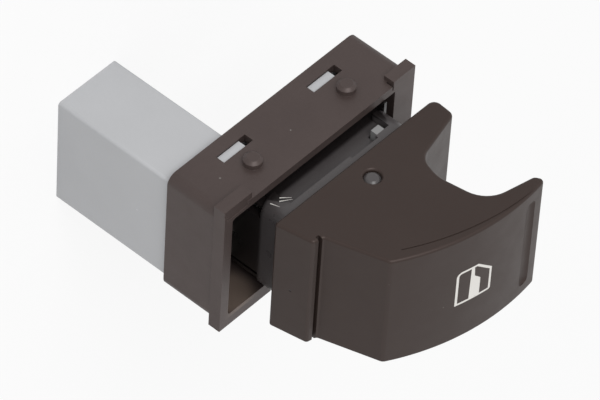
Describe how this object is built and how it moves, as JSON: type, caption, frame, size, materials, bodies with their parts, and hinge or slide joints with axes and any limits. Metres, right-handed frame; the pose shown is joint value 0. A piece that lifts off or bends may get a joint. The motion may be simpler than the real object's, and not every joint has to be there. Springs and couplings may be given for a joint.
{
  "type": "power window switch",
  "caption": "Car door window switch: a sprung rocker with a pull lip and finger scoop, on a snap-in case with a blade plug shroud behind.",
  "frame": {"origin": "middle of the case's front rim, at the seat in the door panel", "axes": "+Z out of the door panel toward the rocker, +X toward the pull lip, +Y along the rocker's pivot"},
  "size_m": [0.0406, 0.0244, 0.057],
  "materials": {
    "grey_housing": "fine satin moulding",
    "board": "solder mask",
    "silicone": "matt",
    "natural_acetal": "satin",
    "led_lens": "gloss",
    "clear_guide": "polished",
    "case_black": "matt moulding",
    "carrier_black": "satin moulding",
    "rocker_black": "soft satin",
    "symbol_white": "satin",
    "terminal_metal": "tinned",
    "carbon": "matt",
    "chip_black": "matt"
  },
  "bodies": {
    "case_body": {"connector_housing": "grey_housing", "circuit_board": "board", "dome_mat": "silicone", "led": "led_lens", "light_guide": "clear_guide", "case": "case_black", "carrier": "carrier_black", "blade_terminal_1": "terminal_metal", "blade_terminal_2": "terminal_metal", "blade_terminal_3": "terminal_metal", "blade_terminal_4": "terminal_metal", "resistor_1": "chip_black", "resistor_2": "chip_black", "resistor_3": "chip_black"},
    "rocker": {"rocker_button": "rocker_black", "window_symbol": "symbol_white"},
    "press_plunger": {"press_plunger": "natural_acetal", "contact_pill_3": "carbon", "contact_pill_4": "carbon"},
    "pull_plunger": {"pull_plunger": "natural_acetal", "contact_pill_1": "carbon", "contact_pill_2": "carbon"}
  },
  "joints": [
    {"name": "rocker_pivot", "type": "hinge", "parent": "case_body", "child": "rocker", "pos_m": [0.00143, 0, 0.00842], "axis": [0, 1, 0], "range_deg": [-8, 8], "stiffness_Nm_per_rad": 0.3},
    {"name": "press_slide", "type": "slide", "parent": "case_body", "child": "press_plunger", "axis": [0, 0, 1], "range_m": [-0.00085, 0.00085], "deforming": ["dome_mat"]},
    {"name": "pull_slide", "type": "slide", "parent": "case_body", "child": "pull_plunger", "axis": [0, 0, 1], "range_m": [-0.00085, 0.00085]}
  ],
  "couplings": [
    {"joint": "press_slide", "follows": "rocker_pivot", "m_per_rad": -0.006},
    {"joint": "pull_slide", "follows": "rocker_pivot", "m_per_rad": 0.006}
  ]
}
